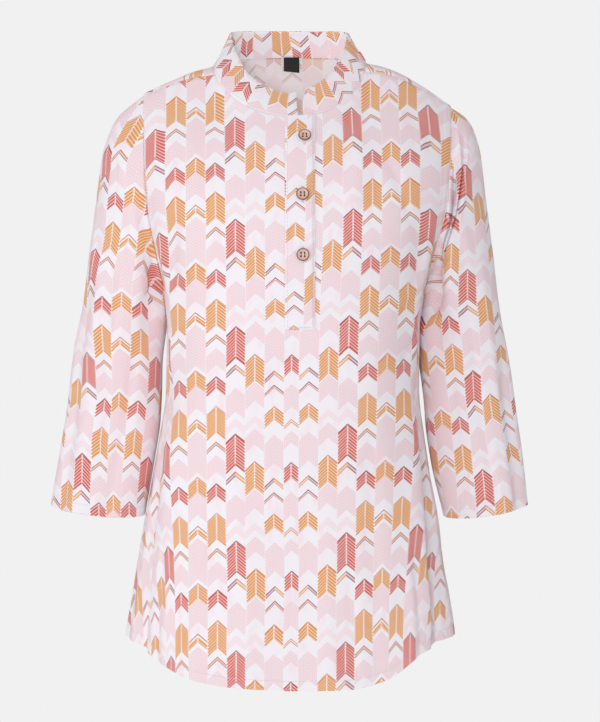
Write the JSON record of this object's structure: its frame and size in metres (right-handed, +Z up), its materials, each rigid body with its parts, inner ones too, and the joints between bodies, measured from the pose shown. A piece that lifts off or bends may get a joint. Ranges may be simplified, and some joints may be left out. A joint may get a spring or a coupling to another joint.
{
  "type": "kurta tunic",
  "caption": "Child's band-collar kurta tunic with long set-in sleeves, a buttoned half placket and a curved hem, hollow as if worn.",
  "frame": {"origin": "middle of the neck opening, at the height where the cloth lies on the wearer's shoulders", "axes": "+Z up, the front faces -Y, the wearer's left sleeve is at +X"},
  "size_m": [0.3242, 0.1664, 0.4484],
  "materials": {
    "printed_cotton": "matte slub cotton with an arrow-feather print in coral, apricot and pale pink",
    "button": "satin rose-brown, wood-like",
    "neck_label": "plain black satin tape"
  },
  "bodies": {
    "root": {"front_panel": "printed_cotton", "back_panel": "printed_cotton", "sleeve_right": "printed_cotton", "sleeve_left": "printed_cotton", "collar_band": "printed_cotton", "placket_overlap": "printed_cotton", "placket_underlap": "printed_cotton", "button_1": "button", "button_2": "button", "button_3": "button", "neck_label": "neck_label"}
  },
  "joints": []
}
